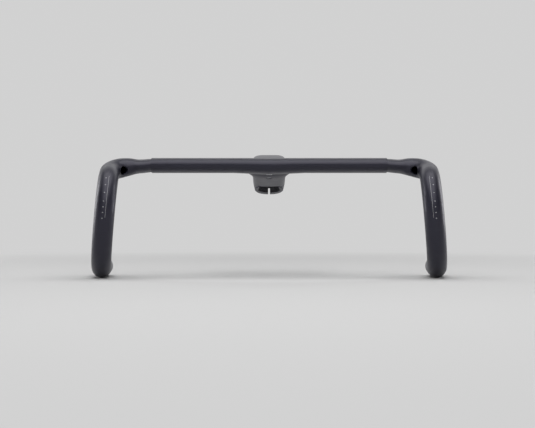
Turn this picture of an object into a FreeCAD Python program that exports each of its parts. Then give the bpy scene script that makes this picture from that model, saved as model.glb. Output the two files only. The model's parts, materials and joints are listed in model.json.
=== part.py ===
import FreeCAD, Part
import math
import os

from FreeCAD import Vector

# Integrated drop handlebar: bar and stem in one hollow moulding, clamped on a steerer tube.
# Millimetres. +X is the rider's left, -Y the way the bar faces, +Z up as it stands on its two drops.
# The origin is on the steerer axis, on the lower face of the clamp.

# Steerer clamp, in its own upright frame: local Z up the steerer, local Y to the rear
STEERER_D = 28.6
CLAMP_PLAY = 0.05
CLAMP_HEIGHT = 41.0
STEERER_TILT = 13.0
CLAMP_FRONT_WALL = 6.65
CLAMP_REAR_WALL = 10.65
CLAMP_SIDE_WALL = 6.85
CLAMP_FOOT_WALL = 3.95
CLAMP_TUCK = 20.0
CLAMP_POWER = 2.3
CLAMP_EDGE = 1.0
SLIT_W = 2.4
HOSE_SLOT_W = 26.0
HOSE_SLOT_GAP = 2.45
HOSE_SLOT_HEIGHT = 25.0
HOSE_SLOT_CORNER = 5.0
BORE_WALL = 3.0

# Stem
STEM_LENGTH = 100.0
STEM_ANGLE = 8.4
STEM_W = 42.2
STEM_KEYSTONE = 0.05
STEM_WALL = 3.2
STEM_POWER = 5.0
STEM_ROOT_POWER = 2.6
STEM_ROOT_FLARE = 36.0
STEM_ROOT_DECAY = 12.0
STEM_ROOT_SUNK = 5.0
STEM_ROOT_R = 11.0
STEM_ROOT_START = 2.0
STEM_ROOT_END = 24.0
STEM_SQUARE_AT = 60.0
STEM_INTO_CLAMP = 6.0
STEM_VOID_POWER = 3.0
STEM_VOID_REST = 0.8

# Tops of the bar
TOPS_DEPTH = 38.0
TOPS_HEIGHT = 18.4
TOPS_POWER = 2.3
TAPE_STEP = 1.0
BELLY_HALF_W = 44.0
BELLY_DEPTH = 1.8
BELLY_BACK = 3.0

# Bends and drops
HOOD_SPACING = 383.0
TUBE_D = 23.8
WALL = 2.3
BEND_R = 32.0
SHOULDER_LENGTH = 16.1
BEND_SLIM_TURN = 75.0
BEND_TALL_TURN = 48.0
SHOULDER_SAG = 1.2
SHOULDER_GROWTH = 0.4
RAMP_SLOPE = 16.0
TOE = 5.4
FLARE = 5.1
REACH = 78.0
DROP = 124.8
HOOK_TOP_R = 44.0
TAIL_REAR = 40.0
END_WALL = 2.0
END_BORE_DEPTH = 36.0
END_EDGE = 0.6

# Hose ports on the inside of the bends
PORT_D = 10.2
PORT_TURN = 52.0
PORT_AIM = 45.0
PORT_LIP = 0.7

# Pinch bolts, washers and nuts of the clamp
BOLT_D = 5.0
BOLT_PLAY = 0.2
BOLT_WALL = 2.15
BOLT_EDGE = 9.5
BOLT_TIP = 0.5
HEAD_D = 8.5
HEAD_H = 5.0
HEAD_EDGE = 0.5
HEX_SOCKET = 4.0
HEX_DEPTH = 2.6
WASHER_D = 9.0
WASHER_T = 0.8
SEAT_X = 7.0
SEAT_PLAY = 0.2
NUT_FLATS = 8.0
NUT_H = 4.7

# Threaded inserts for a computer bracket, set upright in the underside of the stem
INSERT_D = 7.0
INSERT_THREAD_R = 2.0
INSERT_H = 5.0
INSERT_PITCH = 21.0
INSERT_FRONT = 4.0
INSERT_SUNK = 0.4

# How finely sections are laid, and how far cutters run past a face
SECTION_POINTS = 24
SECTION_STEP = 8.0
VOID_STEP = 14.0
STEM_STEP = 8.7
STEM_VOID_STEPS = 2
CLAMP_STEPS = 6
PAST = 2.0
LAP = 20.0
NEAR = 1.0
FLAT_LEAST = 0.001

ORIGIN = Vector(0, 0, 0)
X_AXIS = Vector(1, 0, 0)
Y_AXIS = Vector(0, 1, 0)
Z_AXIS = Vector(0, 0, 1)


def rad(degrees):
    return math.radians(degrees)


def blend(a, b, t):
    return a + (b - a) * t


def ease(t):
    """Smooth step from 0 to 1."""
    t = min(max(t, 0.0), 1.0)
    return t * t * (3.0 - 2.0 * t)


def steps(length, step):
    """Number of equal steps near the given step in a length."""
    return max(2, round(length / step))


def superellipse(centre, across, up, half_w, half_h, power, keystone=0.0):
    """Closed smooth wire |x/half_w|^power + |z/half_h|^power = 1, wider at its top by the keystone share."""
    points = []
    for i in range(SECTION_POINTS):
        t = 2.0 * math.pi * i / SECTION_POINTS
        c, s = math.cos(t), math.sin(t)
        r = (abs(c) ** power + abs(s) ** power) ** (-1.0 / power)
        side = half_w * r * c * (1.0 + keystone * r * s)
        points.append(centre + across * side + up * (half_h * r * s))
    knots = [i / SECTION_POINTS for i in range(SECTION_POINTS + 1)]
    curve = Part.BSplineCurve()
    curve.interpolate(Points=points, PeriodicFlag=True, Parameters=knots)
    return Part.Wire(curve.toShape())


def mirrored(shape):
    return shape.mirror(ORIGIN, X_AXIS)


def tilted(shape):
    """Turn a shape from the upright clamp frame into the frame of the part."""
    turned = shape.copy()
    turned.rotate(ORIGIN, X_AXIS, -STEERER_TILT)
    return turned


def hex_prism(base, flats, length):
    """Hexagonal prism along +X from base, with two flats level."""
    corner_r = flats / math.sqrt(3.0)
    points = []
    for i in range(7):
        t = rad(60.0 * i)
        points.append(base + Y_AXIS * (corner_r * math.cos(t)) + Z_AXIS * (corner_r * math.sin(t)))
    return Part.Face(Part.makePolygon(points)).extrude(X_AXIS * length)


# Directions of the clamp, and the centre of the tops at the end of the stem
TILT = FreeCAD.Rotation(X_AXIS, -STEERER_TILT)
STEERER_UP = TILT.multVec(Z_AXIS)
CLAMP_BACK = TILT.multVec(Y_AXIS)
STEM_RISE = rad(STEERER_TILT - STEM_ANGLE)
STEM_DIR = Vector(0, -math.cos(STEM_RISE), math.sin(STEM_RISE))
BAR = STEERER_UP * (CLAMP_HEIGHT / 2.0) + STEM_DIR * STEM_LENGTH
TOPS_A = TOPS_DEPTH / 2.0
TOPS_B = TOPS_HEIGHT / 2.0
CLAMP_R = STEERER_D / 2.0 + CLAMP_PLAY
CLAMP_FRONT = CLAMP_R + CLAMP_FRONT_WALL
CLAMP_REAR = CLAMP_R + CLAMP_REAR_WALL
CLAMP_TOP_W = 2.0 * (CLAMP_R + CLAMP_SIDE_WALL)
CLAMP_FOOT_W = 2.0 * (CLAMP_R + CLAMP_FOOT_WALL)
BOLT_BACK = CLAMP_R + BOLT_WALL + BOLT_PLAY + BOLT_D / 2.0
BOLT_LENGTH = 2.0 * SEAT_X + WASHER_T + NUT_H + BOLT_TIP
TOP_FRONT = STEERER_UP * CLAMP_HEIGHT - CLAMP_BACK * CLAMP_FRONT
FOOT_FRONT = CLAMP_BACK * -CLAMP_FRONT

# Directions of one drop: ahead, up in its plane and out of its plane
TUBE_R = TUBE_D / 2.0
AHEAD = Vector(-math.sin(rad(TOE)), -math.cos(rad(TOE)), 0)
LEAN = Vector(-math.sin(rad(FLARE)), 0, math.cos(rad(FLARE)))
RISE = (LEAN - AHEAD * LEAN.dot(AHEAD)).normalize()
OUT = RISE.cross(AHEAD).normalize()


def heading(angle):
    """Direction of travel in the plane of the drop, angle counted downward from straight ahead."""
    return AHEAD * math.cos(angle) - RISE * math.sin(angle)


def outside(angle):
    """Normal in the plane of the drop, away from the hand space."""
    return AHEAD * math.sin(angle) + RISE * math.cos(angle)


# The bend turns from the tops into the ramp in one tilted plane
A0 = rad(RAMP_SLOPE)
RAMP_DIR = heading(A0)
BEND_TURN = X_AXIS.getAngle(RAMP_DIR)
BEND_IN = (RAMP_DIR - X_AXIS * RAMP_DIR.dot(X_AXIS)).normalize()
BEND_UP = BEND_IN.cross(X_AXIS).normalize()
BEND_TILT = BEND_UP.getAngle(Z_AXIS)
BEND_START = Vector(HOOD_SPACING / 2.0 - BEND_R * math.sin(BEND_TURN), BAR.y, BAR.z - SHOULDER_SAG)
TAPE_EDGE = BEND_START.x - SHOULDER_LENGTH


def bend_at(turn):
    """Centre and outward normal of the bend after a turn in radians."""
    centre = BEND_START + X_AXIS * (BEND_R * math.sin(turn)) + BEND_IN * (BEND_R * (1.0 - math.cos(turn)))
    outward = X_AXIS * math.sin(turn) - BEND_IN * math.cos(turn)
    return centre, outward


PORT_FROM = bend_at(rad(PORT_TURN))[0]
PORT_DIR = bend_at(rad(PORT_AIM))[1] * -1.0

# Ramp length and lower radius of the hook follow from reach and drop
RAMP_START = bend_at(BEND_TURN)[0]
NEED_AHEAD = (REACH - (BAR.y - RAMP_START.y)) / -AHEAD.y
NEED_DOWN = (DROP - (BAR.z - RAMP_START.z)) / RISE.z
RAMP_LENGTH = (NEED_AHEAD - HOOK_TOP_R * (1.0 - math.sin(A0))) / math.cos(A0)
HOOK_FOOT_R = NEED_DOWN - RAMP_LENGTH * math.sin(A0) - HOOK_TOP_R * math.cos(A0)
ARCS = ((HOOK_TOP_R, A0, math.pi / 2.0), (HOOK_FOOT_R, math.pi / 2.0, math.pi))
RAMP_END = RAMP_START + RAMP_DIR * RAMP_LENGTH
FOOT_PIVOT = RAMP_END - outside(A0) * HOOK_TOP_R + AHEAD * (HOOK_TOP_R - HOOK_FOOT_R)
TAIL_START = FOOT_PIVOT - RISE * HOOK_FOOT_R
TAIL_LENGTH = (BAR.y + TAIL_REAR - TAIL_START.y) / -AHEAD.y
TAIL_END = TAIL_START - AHEAD * TAIL_LENGTH
END_BORE_R = TUBE_R - END_WALL


def ellipse(centre, across, up, half_w, half_h):
    """Closed elliptical wire, a circle where both halves are the same; half_w is never the smaller."""
    if half_w - half_h > FLAT_LEAST:
        return Part.Wire(Part.Ellipse(centre + across * half_w, centre + up * half_h, centre).toShape())
    circle = Part.Circle(centre, across.cross(up), half_h)
    circle.XAxis = across
    return Part.Wire(circle.toShape())


def shoulder_wire(x, inset):
    """Section between tape edge and bend: still flat, growing and sinking a little."""
    share = ease((x - TAPE_EDGE) / (BEND_START.x - TAPE_EDGE))
    centre = Vector(x, BAR.y, BAR.z - SHOULDER_SAG * share)
    half_h = TOPS_B - TAPE_STEP + SHOULDER_GROWTH * share - inset
    return ellipse(centre, Y_AXIS, Z_AXIS, TOPS_A - TAPE_STEP - inset, half_h)


def bend_wire(turn, inset):
    """Section in the bend: flat and level like the tops at first, a round tube at the end."""
    centre, outward = bend_at(turn)
    wide = ease(turn / rad(BEND_SLIM_TURN))
    tall = math.sin(min(turn / rad(BEND_TALL_TURN), 1.0) * math.pi / 2.0)
    twist = BEND_TILT * (1.0 - wide)
    across = outward * math.cos(twist) - BEND_UP * math.sin(twist)
    up = BEND_UP * math.cos(twist) + outward * math.sin(twist)
    half_w = blend(TOPS_A - TAPE_STEP, TUBE_R, wide) - inset
    half_h = blend(TOPS_B - TAPE_STEP + SHOULDER_GROWTH, TUBE_R, tall) - inset
    return ellipse(centre, across, up, half_w, half_h)


def bend_tube(start, inset):
    """Shoulder and bend as one smooth loft from a start inside the tops, inset from the outer skin."""
    wires = []
    count = steps(BEND_START.x - start, SECTION_STEP)
    for i in range(count):
        wires.append(shoulder_wire(blend(start, BEND_START.x, i / count), inset))
    count = steps(BEND_R * BEND_TURN, SECTION_STEP)
    for i in range(count + 1):
        wires.append(bend_wire(BEND_TURN * i / count, inset))
    return Part.makeLoft(wires, True, False)


def drop_pieces():
    """Ramp, hook and tail of one side: cylinder, two bent tubes and cylinder."""
    pieces = [Part.makeCylinder(TUBE_R, RAMP_LENGTH, RAMP_START, RAMP_DIR)]
    centre = RAMP_END
    for bend_r, start, end in ARCS:
        pivot = centre - outside(start) * bend_r
        disc = Part.Face(Part.Wire(Part.Circle(centre, heading(start), TUBE_R).toShape()))
        pieces.append(disc.revolve(pivot, OUT, math.degrees(end - start)))
        centre = pivot + outside(end) * bend_r
    tail = Part.makeCylinder(TUBE_R, TAIL_LENGTH, TAIL_START, AHEAD * -1.0)
    rim = [edge for edge in tail.Edges if edge.CenterOfMass.distanceToPoint(TAIL_END) < NEAR]
    pieces.append(tail.makeChamfer(END_EDGE, rim))
    return pieces


def drop_void():
    """Hollow of ramp, hook and tail, straight from section to section."""
    radius = TUBE_R - WALL
    wires = [ellipse(RAMP_START, OUT, outside(A0), radius, radius)]
    centre = RAMP_END
    for bend_r, start, end in ARCS:
        pivot = centre - outside(start) * bend_r
        count = steps(bend_r * (end - start), VOID_STEP)
        for i in range(count):
            angle = blend(start, end, i / count)
            wires.append(ellipse(pivot + outside(angle) * bend_r, OUT, outside(angle), radius, radius))
        centre = pivot + outside(end) * bend_r
    for way in (0.0, TAIL_LENGTH + PAST):
        wires.append(ellipse(TAIL_START - AHEAD * way, OUT, outside(math.pi), radius, radius))
    return Part.makeLoft(wires, True, True)


def tops_wire(x, down, back, inset=0.0):
    """Section of the tops at x, swollen downward and rearward, inset from the outer skin."""
    centre = Vector(x, BAR.y + back / 2.0, BAR.z - down / 2.0)
    half_d = TOPS_A + back / 2.0 - inset
    half_h = TOPS_B + down / 2.0 - inset
    return superellipse(centre, Y_AXIS, Z_AXIS, half_d, half_h, TOPS_POWER)


def tops_void():
    """Hollow of half the tops, up to a wall's thickness from the tape edge."""
    wires = []
    for x in (-PAST, STEM_W / 2.0 + PAST, TAPE_EDGE - WALL):
        wires.append(tops_wire(x, 0.0, 0.0, WALL))
    return Part.makeLoft(wires, True, True)


def tops():
    """Half of the tops from the middle, where they swell to meet the stem, to the tape edge."""
    wires = [
        tops_wire(0.0, BELLY_DEPTH, BELLY_BACK),
        tops_wire(BELLY_HALF_W, 0.0, 0.0),
        tops_wire(TAPE_EDGE, 0.0, 0.0),
    ]
    return Part.makeLoft(wires, True, True)


def stem_lines(y):
    """Top and underside of the stem at y, seen from the side."""
    top = blend(BAR.z + TOPS_B, TOP_FRONT.z, (y - BAR.y) / (TOP_FRONT.y - BAR.y))
    foot = blend(BAR.z - TOPS_B - BELLY_DEPTH, FOOT_FRONT.z, (y - BAR.y) / (FOOT_FRONT.y - BAR.y))
    return top, foot


def stem_wire(y):
    """Section of the stem at y: it starts low inside the bar and reaches its full height behind it."""
    top, foot = stem_lines(y)
    behind = y - BAR.y
    risen = ease((behind + STEM_ROOT_START) / (STEM_ROOT_END + STEM_ROOT_START))
    sunk = STEM_ROOT_SUNK * (1.0 - risen)
    half_w = STEM_W / 2.0 + STEM_ROOT_FLARE * math.exp(-behind / STEM_ROOT_DECAY)
    power = blend(STEM_ROOT_POWER, STEM_POWER, ease(behind / STEM_SQUARE_AT))
    centre = Vector(0, y, (top + foot) / 2.0)
    half_h = (top - foot) / 2.0 - sunk
    return superellipse(centre, X_AXIS * -1.0, Z_AXIS, half_w, half_h, power, STEM_KEYSTONE)


def stem_outer():
    """The stem as one smooth loft, its sections at the same places behind the bar whatever its length."""
    start = BAR.y + STEM_ROOT_START
    wires = []
    for i in range(steps(-STEM_INTO_CLAMP - start, STEM_STEP)):
        wires.append(stem_wire(start + i * STEM_STEP))
    wires.append(stem_wire(-STEM_INTO_CLAMP))
    return Part.makeLoft(wires, True, False)


def clamp_wire(z, inset):
    """Outline of the clamp at a height above its foot, tucked in toward the foot."""
    grown = 1.0 - (1.0 - min(z / CLAMP_TUCK, 1.0)) ** 2
    half_w = blend(CLAMP_FOOT_W, CLAMP_TOP_W, grown) / 2.0 - inset
    half_l = (CLAMP_REAR + CLAMP_FRONT) / 2.0 - inset
    centre = Vector(0, (CLAMP_REAR - CLAMP_FRONT) / 2.0, z)
    return superellipse(centre, X_AXIS, Y_AXIS, half_w, half_l, CLAMP_POWER)


def clamp_outer():
    """Clamp block with its two rims broken."""
    low, high = CLAMP_EDGE, CLAMP_HEIGHT - CLAMP_EDGE
    walls = []
    for i in range(CLAMP_STEPS + 1):
        walls.append(clamp_wire(blend(low, high, i / CLAMP_STEPS), 0.0))
    block = Part.makeLoft(walls, True, False)
    foot = Part.makeLoft([clamp_wire(0.0, CLAMP_EDGE), walls[0]], True, True)
    head = Part.makeLoft([walls[-1], clamp_wire(CLAMP_HEIGHT, CLAMP_EDGE)], True, True)
    return tilted(block.fuse([foot, head]))


def half_of(shape):
    """The part of a shape on the side of +X."""
    size = 2.0 * HOOD_SPACING
    return shape.common(Part.makeBox(size, size, size, Vector(0, -size / 2.0, -size / 2.0)))


def half_skin():
    """Outer form on the side of +X: tops, stem with filleted root, clamp and one side."""
    root = tops().fuse(half_of(stem_outer()))
    joint = []
    for edge in root.Edges:
        box = edge.BoundBox
        aside = PAST < box.XMax < BELLY_HALF_W - PAST
        if aside and box.YMin > BAR.y + STEM_ROOT_START + NEAR and box.YMax < -STEM_INTO_CLAMP - PAST:
            joint.append(edge)
    skin = root.makeFillet(STEM_ROOT_R, joint)
    skin = skin.fuse(half_of(clamp_outer()))
    return skin.fuse([bend_tube(TAPE_EDGE - LAP, 0.0)] + drop_pieces())


def stem_void():
    """Hollow of the stem, from the hollow of the tops to the wall in front of the steerer."""
    wires = []
    for i in range(STEM_VOID_STEPS + 1):
        y = blend(BAR.y - PAST, -STEM_INTO_CLAMP - PAST, i / STEM_VOID_STEPS)
        top, foot = stem_lines(y)
        share = ease((y - BAR.y) / (STEM_ROOT_END + STEM_INTO_CLAMP))
        half_h = blend(TOPS_B - WALL - STEM_VOID_REST, (top - foot) / 2.0 - STEM_WALL, share)
        half_w = STEM_W / 2.0 - STEM_WALL
        centre = Vector(0, y, blend(BAR.z, (top + foot) / 2.0, share))
        wires.append(superellipse(centre, X_AXIS, Z_AXIS, half_w, half_h, STEM_VOID_POWER))
    hollow = Part.makeLoft(wires, True, True)
    size = 4.0 * CLAMP_HEIGHT
    wall = Part.makeBox(size, size, size, Vector(-size / 2.0, -CLAMP_R - BORE_WALL, -size / 2.0))
    return hollow.cut(tilted(wall))


def hose_slot():
    """Way for hoses from the stem hollow down through the foot, in front of the steerer."""
    length = CLAMP_R + HOSE_SLOT_GAP
    low = Vector(-HOSE_SLOT_W / 2.0, -length, -PAST)
    slot = Part.makeBox(HOSE_SLOT_W, length, HOSE_SLOT_HEIGHT + PAST, low)
    corners = []
    for edge in slot.Edges:
        box = edge.BoundBox
        if box.ZLength > HOSE_SLOT_HEIGHT and box.YMax < -length + NEAR:
            corners.append(edge)
    return tilted(slot.makeFillet(HOSE_SLOT_CORNER, corners))


def bolt_places():
    """Height of each pinch bolt, and whether it enters from the right."""
    return ((BOLT_EDGE, False), (CLAMP_HEIGHT - BOLT_EDGE, True))


def along_bolt(make):
    """Solids made on the first bolt's line, one for each pinch bolt, turned into place."""
    solids = []
    for height, from_right in bolt_places():
        solid = make(Vector(0, BOLT_BACK, height))
        if from_right:
            solid = mirrored(solid)
        solids.append(tilted(solid))
    return solids


def bolt_seat(at):
    """Hole, counterbore and nut pocket of one pinch bolt."""
    reach = CLAMP_TOP_W
    through = SEAT_X + PAST
    hole = Part.makeCylinder(BOLT_D / 2.0 + BOLT_PLAY, 2.0 * through, at - X_AXIS * through, X_AXIS)
    head = Part.makeCylinder(WASHER_D / 2.0 + SEAT_PLAY, reach, at + X_AXIS * SEAT_X, X_AXIS)
    pocket = hex_prism(at - X_AXIS * (SEAT_X + reach), NUT_FLATS + 2.0 * SEAT_PLAY, reach)
    return hole.fuse([head, pocket])


def pinch_bolt(at):
    """Socket-head screw with its head on +X."""
    under = at + X_AXIS * (SEAT_X + WASHER_T)
    shank = Part.makeCylinder(BOLT_D / 2.0, BOLT_LENGTH, under, X_AXIS * -1.0)
    head = Part.makeCylinder(HEAD_D / 2.0, HEAD_H, under, X_AXIS)
    rim = [edge for edge in head.Edges if edge.BoundBox.XMin > under.x + HEAD_H - HEAD_EDGE]
    head = head.makeChamfer(HEAD_EDGE, rim)
    socket = hex_prism(under + X_AXIS * (HEAD_H - HEX_DEPTH), HEX_SOCKET, HEX_DEPTH + PAST)
    return head.cut(socket).fuse(shank).removeSplitter()


def washer(at):
    base = at + X_AXIS * SEAT_X
    ring = Part.makeCylinder(WASHER_D / 2.0, WASHER_T, base, X_AXIS)
    return ring.cut(Part.makeCylinder(BOLT_D / 2.0 + BOLT_PLAY, WASHER_T, base, X_AXIS))


def nut(at):
    base = at - X_AXIS * (SEAT_X + NUT_H)
    return hex_prism(base, NUT_FLATS, NUT_H).cut(Part.makeCylinder(BOLT_D / 2.0, NUT_H, base, X_AXIS))


def insert_bases():
    """Centre of the lower face of each insert, a little inside the underside of the stem."""
    bases = []
    for behind in (INSERT_FRONT, INSERT_FRONT + INSERT_PITCH):
        foot = stem_lines(BAR.y + behind)[1]
        bases.append(Vector(0, BAR.y + behind, foot + INSERT_SUNK))
    return bases


def insert(base):
    ring = Part.makeCylinder(INSERT_D / 2.0, INSERT_H, base)
    return ring.cut(Part.makeCylinder(INSERT_THREAD_R, INSERT_H, base))


def port():
    """Round hose hole through the inner wall of the bend."""
    return Part.makeCylinder(PORT_D / 2.0, BEND_R, PORT_FROM, PORT_DIR)


def with_port(half):
    """One half with its hose hole, the outer rim of the hole broken."""
    half = half.cut(port())
    rims = []
    for edge in half.Edges:
        way = edge.CenterOfMass - PORT_FROM
        along = way.dot(PORT_DIR)
        if 0.0 < along < BEND_R and (way - PORT_DIR * along).Length < PORT_D / 2.0:
            rims.append((along, edge))
    skin = max(along for along, edge in rims) - WALL / 2.0
    return half.makeChamfer(PORT_LIP, [edge for along, edge in rims if along > skin])


def end_bore():
    """Straight bore of the tail for an end plug."""
    return Part.makeCylinder(END_BORE_R, END_BORE_DEPTH + PAST, TAIL_END - AHEAD * PAST, AHEAD)


def handlebar_body():
    """The moulding: one half is hollowed, bored and slit, then mirrored; the bolt seats come last."""
    half = half_skin()
    slit_size = (SLIT_W, CLAMP_REAR + PAST, CLAMP_HEIGHT + 2.0 * PAST)
    cutters = [
        tops_void(),
        bend_tube(TAPE_EDGE - LAP, WALL).fuse(drop_void()),
        stem_void(),
        tilted(Part.makeCylinder(CLAMP_R, CLAMP_HEIGHT + 2.0 * PAST, Vector(0, 0, -PAST))),
        tilted(Part.makeBox(*slit_size, Vector(-SLIT_W / 2.0, 0, -PAST))),
        hose_slot(),
        end_bore(),
    ]
    for base in insert_bases():
        cutters.append(Part.makeCylinder(INSERT_D / 2.0, INSERT_H + PAST, base - Z_AXIS * PAST))
    for cutter in cutters:
        half = half.cut(cutter)
    half = with_port(half)
    body = half.fuse(mirrored(half))
    for seat in along_bolt(bolt_seat):
        body = body.cut(seat)
    return body


def main():
    os.makedirs("parts", exist_ok=True)
    nodes = {
        "handlebar_body": handlebar_body().Solids,
        "clamp_bolts": along_bolt(pinch_bolt),
        "clamp_washers": along_bolt(washer),
        "clamp_nuts": along_bolt(nut),
        "mount_inserts": [insert(base) for base in insert_bases()],
    }
    for name, solids in nodes.items():
        shape = solids[0] if len(solids) == 1 else Part.makeCompound(solids)
        shape.exportStep("parts/" + name + ".step")


main()
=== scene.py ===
"""Integrated drop handlebar: satin moulding, clamp hardware, printed lever scales, studio and camera."""

from __future__ import annotations

import json
import logging
import math
from dataclasses import dataclass, field, replace
from enum import Enum

import bpy
import numpy as np
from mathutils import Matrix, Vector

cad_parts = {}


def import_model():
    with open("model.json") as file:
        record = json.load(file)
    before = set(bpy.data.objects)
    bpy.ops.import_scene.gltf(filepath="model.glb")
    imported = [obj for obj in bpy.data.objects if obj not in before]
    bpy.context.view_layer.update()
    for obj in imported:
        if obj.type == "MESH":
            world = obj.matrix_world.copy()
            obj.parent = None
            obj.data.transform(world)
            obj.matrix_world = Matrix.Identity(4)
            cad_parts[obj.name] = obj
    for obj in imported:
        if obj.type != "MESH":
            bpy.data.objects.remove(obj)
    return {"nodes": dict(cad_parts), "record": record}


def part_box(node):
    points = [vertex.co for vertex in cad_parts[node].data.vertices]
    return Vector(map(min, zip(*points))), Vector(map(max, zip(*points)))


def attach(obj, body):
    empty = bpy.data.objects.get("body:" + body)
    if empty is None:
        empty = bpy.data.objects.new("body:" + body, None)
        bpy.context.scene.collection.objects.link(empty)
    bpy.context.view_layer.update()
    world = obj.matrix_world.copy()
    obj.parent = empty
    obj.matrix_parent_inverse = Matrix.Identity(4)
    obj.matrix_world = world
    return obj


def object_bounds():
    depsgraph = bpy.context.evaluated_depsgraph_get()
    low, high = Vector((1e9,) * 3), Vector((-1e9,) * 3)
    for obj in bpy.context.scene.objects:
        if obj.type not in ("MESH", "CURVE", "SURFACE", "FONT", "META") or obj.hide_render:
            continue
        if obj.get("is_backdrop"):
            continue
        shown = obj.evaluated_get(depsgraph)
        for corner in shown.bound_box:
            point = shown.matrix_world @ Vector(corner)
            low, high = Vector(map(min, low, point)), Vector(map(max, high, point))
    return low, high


LOG = logging.getLogger("handlebar")
ROOT = "root"
MM = 0.001

# Places of the colour sockets on a Mix node, behind its sockets for values and vectors
MIX_DARK = 6
MIX_LIGHT = 7
MIX_COLOUR = 2

# Surface grain: shares of pits and of slow waves in its mask, octaves of both, and waves per metre
PIT_SHARE = 0.6
WAVE_SHARE = 0.4
PIT_OCTAVES = 3.0
WAVE_OCTAVES = 2.0
WAVES = 35.0

Colour = tuple[float, float, float]
Point = tuple[float, float, float]
Spare = tuple[float, float]
Mounts = dict[str, dict]


class Node(Enum):
    """The solids that carry a finish."""

    BODY = "handlebar_body"
    BOLTS = "clamp_bolts"
    WASHERS = "clamp_washers"
    NUTS = "clamp_nuts"
    INSERTS = "mount_inserts"


class Mount(Enum):
    """The mounts whose bores show bare laminate."""

    STEERER = "steerer_clamp"
    LEFT_END = "bar_end_left"
    RIGHT_END = "bar_end_right"


class Slot(Enum):
    """Names of two material slots; nothing in this script reads them."""

    CARBON = "carbon"
    INSERT_METAL = "insert_metal"


class Side(Enum):
    """The two sides of the bar, with the sign of X."""

    LEFT = 1.0
    RIGHT = -1.0

    @property
    def word(self) -> str:
        """Name of the side as used in the names of pieces."""
        return self.name.lower()


class Shader:
    """A small helper that places and joins nodes in one node tree."""

    def __init__(self, tree: bpy.types.NodeTree) -> None:
        """Keep the tree that receives the nodes."""
        self.tree = tree

    def add(self, kind: str, **settings: object) -> bpy.types.Node:
        """Place one node.

        Args:
            kind: Blender's name of the node type.
            settings: node properties, set by name.
        Returns:
            The new node.
        """
        node = self.tree.nodes.new(kind)
        for name, value in settings.items():
            setattr(node, name, value)
        return node

    def join(self, source: bpy.types.NodeSocket, target: bpy.types.NodeSocket) -> None:
        """Link an output to an input."""
        self.tree.links.new(source, target)

    def noise(self, vector: bpy.types.NodeSocket, scale: float, detail: float) -> bpy.types.NodeSocket:
        """Place a noise texture.

        Args:
            vector: coordinates to read.
            scale: cells per metre.
            detail: octaves.
        Returns:
            Its factor output.
        """
        node = self.add("ShaderNodeTexNoise")
        node.inputs["Scale"].default_value = scale
        node.inputs["Detail"].default_value = detail
        self.join(vector, node.inputs["Vector"])
        return node.outputs["Fac"]

    def spread(self, value: bpy.types.NodeSocket, low: float, high: float) -> bpy.types.NodeSocket:
        """Map a 0 to 1 value onto a range.

        Args:
            value: the value to map.
            low: result at 0.
            high: result at 1.
        Returns:
            The mapped output.
        """
        node = self.add("ShaderNodeMapRange")
        node.inputs["To Min"].default_value = low
        node.inputs["To Max"].default_value = high
        self.join(value, node.inputs["Value"])
        return node.outputs["Result"]

    def sharpen(self, value: bpy.types.NodeSocket, low: float, high: float) -> bpy.types.NodeSocket:
        """Stretch a narrow range onto 0 to 1 and cut off what lies outside it.

        Args:
            value: the value to stretch.
            low: value that becomes 0.
            high: value that becomes 1.
        Returns:
            The stretched output.
        """
        node = self.add("ShaderNodeMapRange")
        node.inputs["From Min"].default_value = low
        node.inputs["From Max"].default_value = high
        self.join(value, node.inputs["Value"])
        return node.outputs["Result"]

    def math(self, operation: str, first: bpy.types.NodeSocket, second: bpy.types.NodeSocket | float,
             third: bpy.types.NodeSocket | float | None = None) -> bpy.types.NodeSocket:
        """Place a math node.

        Args:
            operation: Blender's name of the operation.
            first: linked first operand.
            second: second operand, linked or constant.
            third: third operand, linked or constant, where the operation has one.
        Returns:
            The value output.
        """
        node = self.add("ShaderNodeMath", operation=operation)
        self.join(first, node.inputs[0])
        for place, operand in ((1, second), (2, third)):
            if isinstance(operand, bpy.types.NodeSocket):
                self.join(operand, node.inputs[place])
            elif operand is not None:
                node.inputs[place].default_value = operand
        return node.outputs["Value"]

    def vector(self, operation: str, first: bpy.types.NodeSocket,
               second: bpy.types.NodeSocket) -> bpy.types.Node:
        """Place a vector math node on two linked vectors.

        Args:
            operation: Blender's name of the operation.
            first: first vector.
            second: second vector, or the factor of a scale.
        Returns:
            The new node.
        """
        node = self.add("ShaderNodeVectorMath", operation=operation)
        self.join(first, node.inputs[0])
        self.join(second, node.inputs["Scale"] if operation == "SCALE" else node.inputs[1])
        return node

    def tint(self, value: bpy.types.NodeSocket, dark: bpy.types.NodeSocket | Colour,
             light: bpy.types.NodeSocket | Colour) -> bpy.types.NodeSocket:
        """Blend two colours by a value.

        Args:
            value: 0 for the dark colour, 1 for the light one.
            dark: first colour, linked or constant.
            light: second colour, linked or constant.
        Returns:
            The colour output.
        """
        node = self.add("ShaderNodeMix", data_type="RGBA")
        for place, colour in ((MIX_DARK, dark), (MIX_LIGHT, light)):
            if isinstance(colour, bpy.types.NodeSocket):
                self.join(colour, node.inputs[place])
            else:
                node.inputs[place].default_value = (*colour, 1.0)
        self.join(value, node.inputs["Factor"])
        return node.outputs[MIX_COLOUR]


def new_group(name: str, inputs: dict[str, str], outputs: dict[str, str]) -> bpy.types.NodeTree:
    """Make an empty shader node group with named sockets.

    Args:
        name: name of the group.
        inputs: socket types by input name.
        outputs: socket types by output name.
    Returns:
        The new group.
    """
    tree = bpy.data.node_groups.new(name, "ShaderNodeTree")
    for way, sockets in (("INPUT", inputs), ("OUTPUT", outputs)):
        for socket, kind in sockets.items():
            tree.interface.new_socket(socket, in_out=way, socket_type=kind)
    return tree


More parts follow.
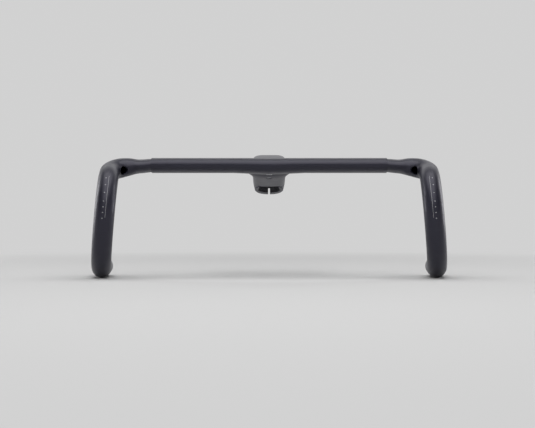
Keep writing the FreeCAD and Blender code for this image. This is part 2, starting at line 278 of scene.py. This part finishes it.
def grain_group() -> bpy.types.NodeTree:
    """Fine surface grain: small pits over slow waves.

    Returns:
        A node group with Vector and Pits in, Height and Mask out. Pits is their number per metre.
    """
    name = "surface_grain"
    if name in bpy.data.node_groups:
        return bpy.data.node_groups[name]
    tree = new_group(name, {"Vector": "NodeSocketVector", "Pits": "NodeSocketFloat"},
                     {"Height": "NodeSocketFloat", "Mask": "NodeSocketFloat"})
    kit = Shader(tree)
    source = kit.add("NodeGroupInput")
    sink = kit.add("NodeGroupOutput")
    pits = kit.add("ShaderNodeTexNoise")
    pits.inputs["Detail"].default_value = PIT_OCTAVES
    kit.join(source.outputs["Vector"], pits.inputs["Vector"])
    kit.join(source.outputs["Pits"], pits.inputs["Scale"])
    slow = kit.spread(kit.noise(source.outputs["Vector"], WAVES, WAVE_OCTAVES), 0.0, WAVE_SHARE)
    kit.join(pits.outputs["Fac"], sink.inputs["Height"])
    kit.join(kit.math("MULTIPLY_ADD", pits.outputs["Fac"], PIT_SHARE, slow), sink.inputs["Mask"])
    return tree


def bore_group() -> bpy.types.NodeTree:
    """Mask of a bore: 1 nearer than Radius to a line, and no deeper than Depth behind its Mouth.

    Returns:
        A node group with Vector, Mouth, Axis, Radius and Depth in, Mask out. Axis points out of the bore.
    """
    name = "bore_mask"
    if name in bpy.data.node_groups:
        return bpy.data.node_groups[name]
    inputs = {"Vector": "NodeSocketVector", "Mouth": "NodeSocketVector", "Axis": "NodeSocketVector",
              "Radius": "NodeSocketFloat", "Depth": "NodeSocketFloat"}
    tree = new_group(name, inputs, {"Mask": "NodeSocketFloat"})
    kit = Shader(tree)
    source = kit.add("NodeGroupInput")
    sink = kit.add("NodeGroupOutput")
    way = kit.vector("SUBTRACT", source.outputs["Vector"], source.outputs["Mouth"]).outputs["Vector"]
    along = kit.vector("DOT_PRODUCT", way, source.outputs["Axis"]).outputs["Value"]
    foot = kit.vector("SCALE", source.outputs["Axis"], along).outputs["Vector"]
    off = kit.vector("DISTANCE", way, foot).outputs["Value"]
    near = kit.math("LESS_THAN", off, source.outputs["Radius"])
    inside = kit.math("GREATER_THAN", kit.math("ADD", along, source.outputs["Depth"]), 0.0)
    kit.join(kit.math("MULTIPLY", near, inside), sink.inputs["Mask"])
    return tree


@dataclass(frozen=True)
class Bore:
    """A bore whose wall shows the bare laminate."""

    mouth: Point
    axis: Point
    radius: float
    depth: float

    @classmethod
    def at_mount(cls, mount: dict, spare: Spare) -> Bore:
        """Take a bore from a mount, whose axis points out of the bore.

        Args:
            mount: the mount as the record gives it.
            spare: how far the bore reaches past the mount's radius and length, in millimetres.
        Returns:
            The bore, in metres.
        """
        radius = (mount["dims"]["r_mm"] + spare[0]) * MM
        depth = (mount["dims"]["length_mm"] + spare[1]) * MM
        return cls(tuple(mount["pos_m"]), tuple(mount["axis"]), radius, depth)

    def mask(self, kit: Shader, where: bpy.types.NodeSocket) -> bpy.types.NodeSocket:
        """Place the bore's mask.

        Args:
            kit: helper of the material's tree.
            where: Object coordinates.
        Returns:
            1 on the wall of the bore, 0 elsewhere.
        """
        node = kit.add("ShaderNodeGroup", node_tree=bore_group())
        node.inputs["Mouth"].default_value = self.mouth
        node.inputs["Axis"].default_value = self.axis
        node.inputs["Radius"].default_value = self.radius
        node.inputs["Depth"].default_value = self.depth
        kit.join(where, node.inputs["Vector"])
        return node.outputs["Mask"]


@dataclass(frozen=True)
class Finish:
    """A finish with grain in its colour, gloss and height."""

    name: str
    dark: Colour
    light: Colour
    rough_low: float
    rough_high: float
    metallic: float = 0.0
    specular: float = 0.5
    gloss_tint: Colour = (1.0, 1.0, 1.0)
    pits: float = 2200.0
    pit_depth: float = 0.00002
    pit_strength: float = 0.25

    def material(self) -> bpy.types.Material:
        """Make the material.

        Returns:
            A material whose colour, roughness and normal follow the grain on Object coordinates.
        """
        mat = bpy.data.materials.new(self.name)
        mat.use_nodes = True
        mat.node_tree.nodes.clear()
        kit = Shader(mat.node_tree)
        out = kit.add("ShaderNodeOutputMaterial")
        bsdf = kit.add("ShaderNodeBsdfPrincipled")
        where = kit.add("ShaderNodeTexCoord").outputs["Object"]
        grain = kit.add("ShaderNodeGroup", node_tree=grain_group())
        grain.inputs["Pits"].default_value = self.pits
        kit.join(where, grain.inputs["Vector"])
        colour, rough = self.surface(kit, where, grain.outputs["Mask"])
        kit.join(colour, bsdf.inputs["Base Color"])
        kit.join(rough, bsdf.inputs["Roughness"])
        bump = kit.add("ShaderNodeBump")
        bump.inputs["Strength"].default_value = self.pit_strength
        bump.inputs["Distance"].default_value = self.pit_depth
        kit.join(grain.outputs["Height"], bump.inputs["Height"])
        kit.join(bump.outputs["Normal"], bsdf.inputs["Normal"])
        bsdf.inputs["Metallic"].default_value = self.metallic
        bsdf.inputs["Specular IOR Level"].default_value = self.specular
        bsdf.inputs["Specular Tint"].default_value = (*self.gloss_tint, 1.0)
        kit.join(bsdf.outputs["BSDF"], out.inputs["Surface"])
        return mat

    def surface(self, kit: Shader, where: bpy.types.NodeSocket,
                mask: bpy.types.NodeSocket) -> tuple[bpy.types.NodeSocket, bpy.types.NodeSocket]:
        """Colour and roughness over the surface.

        Args:
            kit: helper of the material's tree.
            where: Object coordinates.
            mask: grain mask.
        Returns:
            The colour and roughness outputs.
        """
        return kit.tint(mask, self.dark, self.light), kit.spread(mask, self.rough_low, self.rough_high)


@dataclass(frozen=True)
class LacqueredLaminate(Finish):
    """Satin lacquer over faint fibre streaks outside, bare laminate on the walls of the bores."""

    bare_dark: Colour = (0.010, 0.010, 0.011)
    bare_light: Colour = (0.045, 0.045, 0.047)
    bare_rough: float = 0.75
    fibres: float = 900.0
    fibre_octaves: float = 3.0
    fibre_stretch: float = 0.10
    fibre_low: float = 0.36
    fibre_high: float = 0.64
    fibre_share: float = 0.55
    bores: tuple[Bore, ...] = ()

    def surface(self, kit: Shader, where: bpy.types.NodeSocket,
                mask: bpy.types.NodeSocket) -> tuple[bpy.types.NodeSocket, bpy.types.NodeSocket]:
        """Colour and roughness of the lacquer, streaked along the bar, and of bare laminate in the bores.

        Args:
            kit: helper of the material's tree.
            where: Object coordinates.
            mask: grain mask.
        Returns:
            The colour and roughness outputs.
        """
        stretch = kit.add("ShaderNodeMapping")
        stretch.inputs["Scale"].default_value = (self.fibre_stretch, 1.0, 1.0)
        kit.join(where, stretch.inputs["Vector"])
        streaks = kit.noise(stretch.outputs["Vector"], self.fibres, self.fibre_octaves)
        fibre = kit.sharpen(streaks, self.fibre_low, self.fibre_high)
        rest = kit.math("MULTIPLY", mask, 1.0 - self.fibre_share)
        colour, rough = super().surface(kit, where, kit.math("MULTIPLY_ADD", fibre, self.fibre_share, rest))
        if not self.bores:
            return colour, rough
        bare = kit.tint(fibre, self.bare_dark, self.bare_light)
        inside = self.bores[0].mask(kit, where)
        for bore in self.bores[1:]:
            inside = kit.math("MAXIMUM", inside, bore.mask(kit, where))
        rougher = kit.math("MULTIPLY_ADD", inside, self.bare_rough - self.rough_high, rough)
        return kit.tint(inside, colour, bare), rougher


SATIN_CARBON = LacqueredLaminate(
    "satin_carbon", dark=(0.009, 0.009, 0.016), light=(0.015, 0.015, 0.025), rough_low=0.34, rough_high=0.46,
    specular=0.48, gloss_tint=(0.88, 0.86, 1.0))
BLACK_STEEL = Finish(
    "black_steel", dark=(0.018, 0.018, 0.020), light=(0.040, 0.040, 0.044), rough_low=0.28, rough_high=0.42,
    metallic=0.6)
BARE_ALUMINIUM = Finish(
    "bare_aluminium", dark=(0.52, 0.53, 0.55), light=(0.66, 0.67, 0.69), rough_low=0.25, rough_high=0.38,
    metallic=1.0)
SCALE_INK = Finish(
    "scale_ink", dark=(0.26, 0.26, 0.27), light=(0.42, 0.42, 0.44), rough_low=0.45, rough_high=0.60,
    pits=4000.0)


def paint(obj: bpy.types.Object, material: bpy.types.Material) -> None:
    """Put one material on an object in place of what it has.

    Args:
        obj: the object to paint.
        material: its new material.
    """
    obj.data.materials.clear()
    obj.data.materials.append(material)
    LOG.info("%s gets %s", obj.name, material.name)


def new_object(name: str, points: np.ndarray, faces: list[list[int]], smooth: bool) -> bpy.types.Object:
    """Make a mesh object at the origin.

    Args:
        name: name of the object.
        points: array of points and 3 coordinates in metres.
        faces: corner indices of each face.
        smooth: whether the faces are shaded smooth.
    Returns:
        The new object.
    """
    mesh = bpy.data.meshes.new(name)
    mesh.from_pydata(points.tolist(), [], faces)
    mesh.polygons.foreach_set("use_smooth", np.full(len(faces), smooth))
    mesh.update()
    obj = bpy.data.objects.new(name, mesh)
    bpy.context.collection.objects.link(obj)
    return obj


def grid_quads(index: np.ndarray) -> np.ndarray:
    """Quads between the neighbours of a grid of point indices.

    Args:
        index: array of rows and columns of point indices.
    Returns:
        Array of quads and 4 indices.
    """
    return np.stack([index[:-1, :-1], index[:-1, 1:], index[1:, 1:], index[1:, :-1]], -1).reshape(-1, 4)


def slabs(name: str, tops: np.ndarray, feet: np.ndarray) -> bpy.types.Object:
    """Make closed thin slabs: a grid on top, the same grid below, and walls round the border.

    Args:
        name: name of the object.
        tops: array of slabs, rows, columns and 3 coordinates, seen counter-clockwise from outside.
        feet: the same grid at the foot of each slab.
    Returns:
        The new object.
    """
    count, rows, cols = tops.shape[:3]
    upper = np.arange(rows * cols).reshape(rows, cols)
    lower = upper + rows * cols
    rim = np.concatenate([upper[0, :-1], upper[:-1, -1], upper[-1, :0:-1], upper[:0:-1, 0]])
    after = np.roll(rim, -1)
    walls = np.stack([after, rim, rim + rows * cols, after + rows * cols], -1)
    one = np.concatenate([grid_quads(upper), grid_quads(lower)[:, ::-1], walls])
    faces = one[None] + (np.arange(count) * 2 * rows * cols)[:, None, None]
    points = np.stack([tops, feet], 1).reshape(-1, 3)
    return new_object(name, points, faces.reshape(-1, 4).tolist(), False)


@dataclass
class Moulding:
    """The one-piece bar and stem, with bare laminate a little past the radius and length of its bores."""

    finish: LacqueredLaminate = SATIN_CARBON
    steerer_spare: Spare = (0.25, 9.0)
    end_spare: Spare = (0.2, 16.0)

    def dress(self, nodes: dict[str, bpy.types.Object], mounts: Mounts) -> None:
        """Give the moulding its lacquer outside and bare laminate in its bores.

        Args:
            nodes: objects of the solids by name.
            mounts: mounts of the record by name.
        """
        bores = (
            Bore.at_mount(mounts[Mount.STEERER.value], self.steerer_spare),
            Bore.at_mount(mounts[Mount.LEFT_END.value], self.end_spare),
            Bore.at_mount(mounts[Mount.RIGHT_END.value], self.end_spare),
        )
        paint(nodes[Node.BODY.value], replace(self.finish, bores=bores).material())


@dataclass
class ClampHardware:
    """Pinch bolts, washers and nuts of the steerer clamp."""

    steel: Finish = BLACK_STEEL

    def dress(self, nodes: dict[str, bpy.types.Object]) -> None:
        """Give each kind of hardware its metal.

        Args:
            nodes: objects of the solids by name.
        """
        steel = self.steel.material()
        for node in (Node.BOLTS, Node.WASHERS, Node.NUTS):
            paint(nodes[node.value], steel)


@dataclass
class BracketInserts:
    """Threaded inserts under the stem, with the ridge of their threads."""

    diameter: float = 7.0 * MM
    height: float = 5.0 * MM
    bore_radius: float = 2.0 * MM
    sunk: float = 0.03 * MM
    pitch: float = 0.7 * MM
    ridge: float = 0.36 * MM
    ridge_foot: float = 0.56 * MM
    steps_per_turn: int = 40
    metal: Finish = BARE_ALUMINIUM

    def feet(self) -> np.ndarray:
        """Find the inserts from the box of their node: the front one is higher, the rear one lower.

        Returns:
            Array of the centres of their lower faces, the front one first, and 3 coordinates in metres.
        """
        low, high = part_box(Node.INSERTS.value)
        front = (0.0, low[1] + self.diameter / 2.0, high[2] - self.height)
        rear = (0.0, high[1] - self.diameter / 2.0, low[2])
        return np.array([front, rear])

    def build(self) -> bpy.types.Object:
        """Carry a triangle, its base in the wall and its point toward the axis, along a helix.

        Returns:
            The threads of both inserts.
        """
        turns = (self.height - self.pitch) / self.pitch
        steps = int(turns * self.steps_per_turn)
        angle = np.linspace(0.0, 2.0 * math.pi * turns, steps)
        rise = self.pitch / 2.0 + self.pitch * angle / (2.0 * math.pi)
        base = self.bore_radius + self.sunk
        radius = np.array([base, self.bore_radius - self.ridge, base])
        lift = np.array([-0.5, 0.0, 0.5]) * self.ridge_foot
        ring = np.stack([np.cos(angle)[:, None] * radius, np.sin(angle)[:, None] * radius,
                         rise[:, None] + lift], -1)
        feet = self.feet()
        points = ring.reshape(-1, 3) + feet[:, None]
        index = np.arange(steps * 3).reshape(steps, 3)
        shift = (np.arange(len(feet)) * index.size)[:, None, None]
        sides = grid_quads(np.concatenate([index, index[:, :1]], 1)) + shift
        ends = np.stack([index[0], index[-1, ::-1]]) + shift
        faces = sides.reshape(-1, 4).tolist() + ends.reshape(-1, 3).tolist()
        return new_object("insert_threads", points.reshape(-1, 3), faces, False)

    def dress(self, nodes: dict[str, bpy.types.Object]) -> None:
        """Give inserts and threads their metal, and let the threads go with the bar.

        Args:
            nodes: objects of the solids by name.
        """
        metal = self.metal.material()
        threads = self.build()
        paint(nodes[Node.INSERTS.value], metal)
        paint(threads, metal)
        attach(threads, ROOT)


@dataclass
class LeverScale:
    """Printed scale on the front of one hook: a fine line with short marks beside it.

    Sizes are in millimetres, toe and flare in degrees, turns about the tube in radians. Places run along the
    outermost line of the hook from its foremost point, downward positive. Rows, columns and grid are counts.
    """

    side: Side
    toe: float = 5.4
    flare: float = 5.1
    tube_radius: float = 11.9
    top_radius: float = 44.0
    foot_radius: float = 68.4873
    foot_pivot: Point = (197.7411, -105.2676, -28.5870)
    line_from: float = -47.5
    line_to: float = 7.0
    line_turn: float = -0.12
    line_width: float = 0.32
    line_rows: int = 90
    line_columns: int = 4
    marks: tuple[float, ...] = (-43.7, -33.1, -22.6, -12.0, -5.3, 1.3, 8.0)
    mark_turn: float = 0.15
    mark_width: float = 1.5
    mark_height: float = 1.1
    mark_grid: int = 7
    ink_proud: float = 0.05
    ink_sunk: float = 0.15
    ink: Finish = SCALE_INK

    def skin(self, along: np.ndarray, around: np.ndarray, proud: float) -> np.ndarray:
        """Points on the hook: the tube's circle carried on two arcs that meet at the foremost point.

        Args:
            along: places along the hook in millimetres.
            around: turn about the tube in radians, outward positive.
            proud: height above the tube in millimetres.
        Returns:
            Array of points in metres, with the sign of the side on X.
        """
        toe, flare = math.radians(self.toe), math.radians(self.flare)
        ahead = np.array([-math.sin(toe), -math.cos(toe), 0.0])
        lean = np.array([-math.sin(flare), 0.0, math.cos(flare)])
        rise = lean - ahead * lean.dot(ahead)
        rise /= np.linalg.norm(rise)
        out = np.cross(rise, ahead)
        top_pivot = np.array(self.foot_pivot) + ahead * (self.foot_radius - self.top_radius)
        upper = (along < 0.0)[..., None]
        radius = np.where(upper, self.top_radius, self.foot_radius)
        pivot = np.where(upper, top_pivot, self.foot_pivot)
        angle = along[..., None] / (radius + self.tube_radius) + math.pi / 2.0
        outward = ahead * np.sin(angle) + rise * np.cos(angle)
        turned = outward * np.cos(around)[..., None] + out * np.sin(around)[..., None]
        points = pivot + outward * radius + turned * (self.tube_radius + proud)
        return points * np.array([self.side.value, 1.0, 1.0]) * MM

    def print_on(self, name: str, along: np.ndarray, around: np.ndarray) -> bpy.types.Object:
        """Make the ink of one kind of mark as closed slabs that start in the wall and stand a little proud.

        Args:
            name: name of the piece.
            along: places along the hook, as slabs, rows and columns.
            around: turns about the tube, in the same grid.
        Returns:
            The new piece.
        """
        tops = self.skin(along, around, self.ink_proud)
        feet = self.skin(along, around, -self.ink_sunk)
        if self.side is Side.LEFT:
            tops, feet = tops[:, :, ::-1], feet[:, :, ::-1]
        return slabs(f"{name}_{self.side.word}", tops, feet)

    def build(self) -> list[bpy.types.Object]:
        """Make the line, a long strip, and the marks, discs squeezed from square grids.

        Returns:
            The two pieces of the scale.
        """
        half = self.line_width / 2.0 / self.tube_radius
        places = np.linspace(self.line_from, self.line_to, self.line_rows)
        turns = self.line_turn + np.linspace(-half, half, self.line_columns)
        along, around = np.meshgrid(places, turns, indexing="ij")
        line = self.print_on("lever_scale_line", along[None], around[None])
        across = np.linspace(-1.0, 1.0, self.mark_grid)
        u, v = np.meshgrid(across, across, indexing="ij")
        disc_u = u * np.sqrt(1.0 - v * v / 2.0)
        disc_v = v * np.sqrt(1.0 - u * u / 2.0)
        along = np.array(self.marks)[:, None, None] + disc_u * self.mark_height / 2.0
        turns = self.mark_turn + disc_v * self.mark_width / 2.0 / self.tube_radius
        marks = self.print_on("lever_scale_marks", along, np.broadcast_to(turns, along.shape))
        return [line, marks]

    def dress(self) -> None:
        """Make the scale, ink it and let it go with the bar."""
        ink = self.ink.material()
        for piece in self.build():
            paint(piece, ink)
            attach(piece, ROOT)


@dataclass(frozen=True)
class Softbox:
    """One rectangular soft lamp that faces its aim, which is the middle of the object unless it is given."""

    name: str
    place: Point
    size: tuple[float, float]
    power: float
    aim: Point = (0.0, -0.1, -0.03)

    def build(self) -> None:
        """Make the lamp."""
        lamp = bpy.data.lights.new(self.name, "AREA")
        lamp.shape = "RECTANGLE"
        lamp.size, lamp.size_y = self.size
        lamp.energy = self.power
        obj = bpy.data.objects.new(self.name, lamp)
        obj.location = self.place
        way = np.array(self.aim) - np.array(self.place)
        flat = math.hypot(way[0], way[1])
        obj.rotation_euler = (math.atan2(flat, -way[2]), 0.0, math.atan2(way[1], way[0]) - math.pi / 2.0)
        bpy.context.collection.objects.link(obj)


@dataclass
class Studio:
    """Pale floor that sweeps up into a backdrop, a soft sky and soft lamps.

    The paper glows from a distance off the middle, and the haze fades with the height of a direction, from 0
    at the horizon to 1 overhead. Steps and columns are counts.
    """

    floor_z: float
    half_width: float = 40.0
    columns: int = 9
    front: float = -40.0
    sweep_at: float = 1.0
    sweep_radius: float = 0.8
    sweep_steps: int = 24
    wall_height: float = 2.5
    colour: Colour = (0.54, 0.54, 0.54)
    paper_rough: float = 0.9
    paper_specular: float = 0.0
    paper_glow: float = 0.64
    middle: Point = (0.0, -0.12, -0.11)
    glow_from: float = 0.45
    glow_full: float = 1.1
    sky: float = 0.12
    haze_full: float = 0.07
    haze_top: float = 0.17
    lamps: list[Softbox] = field(default_factory=lambda: [
        Softbox("top_softbox", (0.0, -1.25, 1.35), (1.8, 3.5), 48.0, aim=(0.0, -1.15, 0.0)),
        Softbox("rear_softbox", (0.0, 1.2, 0.75), (1.6, 0.5), 1.5),
        Softbox("left_softbox", (-1.4, 0.5, 0.25), (0.6, 1.0), 10.0),
        Softbox("right_softbox", (1.4, 0.5, 0.25), (0.6, 1.0), 10.0),
    ])

    def build(self) -> None:
        """Make the sweep, the sky and the lamps."""
        self.build_sweep()
        self.build_sky()
        for lamp in self.lamps:
            lamp.build()

    def build_sweep(self) -> None:
        """Carry a profile, straight floor then quarter circle then straight wall, across the width."""
        turn = np.linspace(0.0, math.pi / 2.0, self.sweep_steps)
        curve_y = self.sweep_at + self.sweep_radius * np.sin(turn)
        curve_z = self.sweep_radius * (1.0 - np.cos(turn))
        y = np.concatenate([[self.front], curve_y, [self.sweep_at + self.sweep_radius]])
        z = np.concatenate([[0.0], curve_z, [self.wall_height]]) + self.floor_z
        x = np.linspace(-self.half_width, self.half_width, self.columns)
        points = np.stack(np.broadcast_arrays(x[None, :], y[:, None], z[:, None]), -1)
        index = np.arange(y.size * x.size).reshape(y.size, x.size)
        sweep = new_object("sweep", points.reshape(-1, 3), grid_quads(index).tolist(), True)
        paint(sweep, self.paper())
        sweep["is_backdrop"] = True

    def paper(self) -> bpy.types.Material:
        """Make the paper: plain round the object, evenly pale to the eye further off, clear from below.

        Returns:
            The material.
        """
        mat = bpy.data.materials.new("pale_paper")
        mat.use_nodes = True
        kit = Shader(mat.node_tree)
        bsdf = mat.node_tree.nodes["Principled BSDF"]
        bsdf.inputs["Base Color"].default_value = (*self.colour, 1.0)
        bsdf.inputs["Roughness"].default_value = self.paper_rough
        bsdf.inputs["Specular IOR Level"].default_value = self.paper_specular
        glow = kit.add("ShaderNodeEmission")
        glow.inputs["Color"].default_value = (self.paper_glow, self.paper_glow, self.paper_glow, 1.0)
        off = kit.add("ShaderNodeVectorMath", operation="DISTANCE")
        off.inputs[1].default_value = self.middle
        kit.join(kit.add("ShaderNodeTexCoord").outputs["Object"], off.inputs[0])
        rise = kit.add("ShaderNodeMapRange", interpolation_type="SMOOTHSTEP")
        rise.inputs["From Min"].default_value = self.glow_from
        rise.inputs["From Max"].default_value = self.glow_full
        kit.join(off.outputs["Value"], rise.inputs["Value"])
        share = kit.math("MULTIPLY", self.seen(kit), rise.outputs["Result"])
        lit = self.blend(kit, share, bsdf.outputs["BSDF"], glow.outputs["Emission"])
        under = kit.add("ShaderNodeNewGeometry").outputs["Backfacing"]
        whole = self.blend(kit, under, lit, kit.add("ShaderNodeBsdfTransparent").outputs["BSDF"])
        kit.join(whole, mat.node_tree.nodes["Material Output"].inputs["Surface"])
        return mat

    @staticmethod
    def blend(kit: Shader, share: bpy.types.NodeSocket, first: bpy.types.NodeSocket,
              second: bpy.types.NodeSocket) -> bpy.types.NodeSocket:
        """Mix two shaders.

        Args:
            kit: helper of the material's tree.
            share: 0 for the first shader, 1 for the second.
            first: first shader.
            second: second shader.
        Returns:
            The mixed shader.
        """
        node = kit.add("ShaderNodeMixShader")
        kit.join(share, node.inputs["Fac"])
        kit.join(first, node.inputs[1])
        kit.join(second, node.inputs[2])
        return node.outputs["Shader"]

    def build_sky(self) -> None:
        """Give the world one plain soft level, with a haze as pale as the paper along the horizon."""
        world = bpy.data.worlds.new("soft_sky")
        world.use_nodes = True
        kit = Shader(world.node_tree)
        background = world.node_tree.nodes["Background"]
        background.inputs["Color"].default_value = (1.0, 1.0, 1.0, 1.0)
        way = kit.add("ShaderNodeSeparateXYZ")
        kit.join(kit.add("ShaderNodeTexCoord").outputs["Generated"], way.inputs["Vector"])
        haze = kit.add("ShaderNodeMapRange", interpolation_type="SMOOTHSTEP")
        haze.inputs["From Min"].default_value = self.haze_top
        haze.inputs["From Max"].default_value = self.haze_full
        kit.join(way.outputs["Z"], haze.inputs["Value"])
        pale = kit.math("MULTIPLY", self.seen(kit), haze.outputs["Result"])
        kit.join(kit.spread(pale, self.sky, self.paper_glow), background.inputs["Strength"])
        bpy.context.scene.world = world

    @staticmethod
    def seen(kit: Shader) -> bpy.types.NodeSocket:
        """Tell the rays that show a background from those that light the object.

        Args:
            kit: helper of the tree.
        Returns:
            1 for camera, glossy and transmission rays, 0 for the others.
        """
        path = kit.add("ShaderNodeLightPath")
        direct = kit.math("MAXIMUM", path.outputs["Is Camera Ray"], path.outputs["Is Glossy Ray"])
        return kit.math("MAXIMUM", direct, path.outputs["Is Transmission Ray"])


@dataclass(frozen=True)
class PhotoCamera:
    """Level camera in front of the bar, at mid height."""

    focal_px: float = 1205.0
    image_width: float = 535.0
    sensor_mm: float = 36.0
    place: Point = (-0.00203, -1.5731, -0.0315)

    def build(self) -> None:
        """Make the camera, looking along +Y, and make it the scene's own."""
        lens = bpy.data.cameras.new("photo_camera")
        lens.sensor_width = self.sensor_mm
        lens.lens = self.focal_px / self.image_width * self.sensor_mm
        obj = bpy.data.objects.new("photo_camera", lens)
        obj.location = self.place
        obj.rotation_euler = (math.pi / 2.0, 0.0, 0.0)
        bpy.context.collection.objects.link(obj)
        bpy.context.scene.camera = obj


def main() -> None:
    """Load the frame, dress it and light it."""
    logging.basicConfig(level=logging.INFO, format="%(name)s: %(message)s")
    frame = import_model()
    cad_box = [list(corner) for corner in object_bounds()]
    bpy.context.scene.view_settings.view_transform = "Standard"
    nodes = frame["nodes"]
    mounts = {mount["name"]: mount for mount in frame["record"]["mounts"]}
    Moulding().dress(nodes, mounts)
    ClampHardware().dress(nodes)
    BracketInserts().dress(nodes)
    for side in Side:
        LeverScale(side).dress()
    Studio(floor_z=cad_box[0][2]).build()
    PhotoCamera().build()


if __name__ == "__main__":
    main()
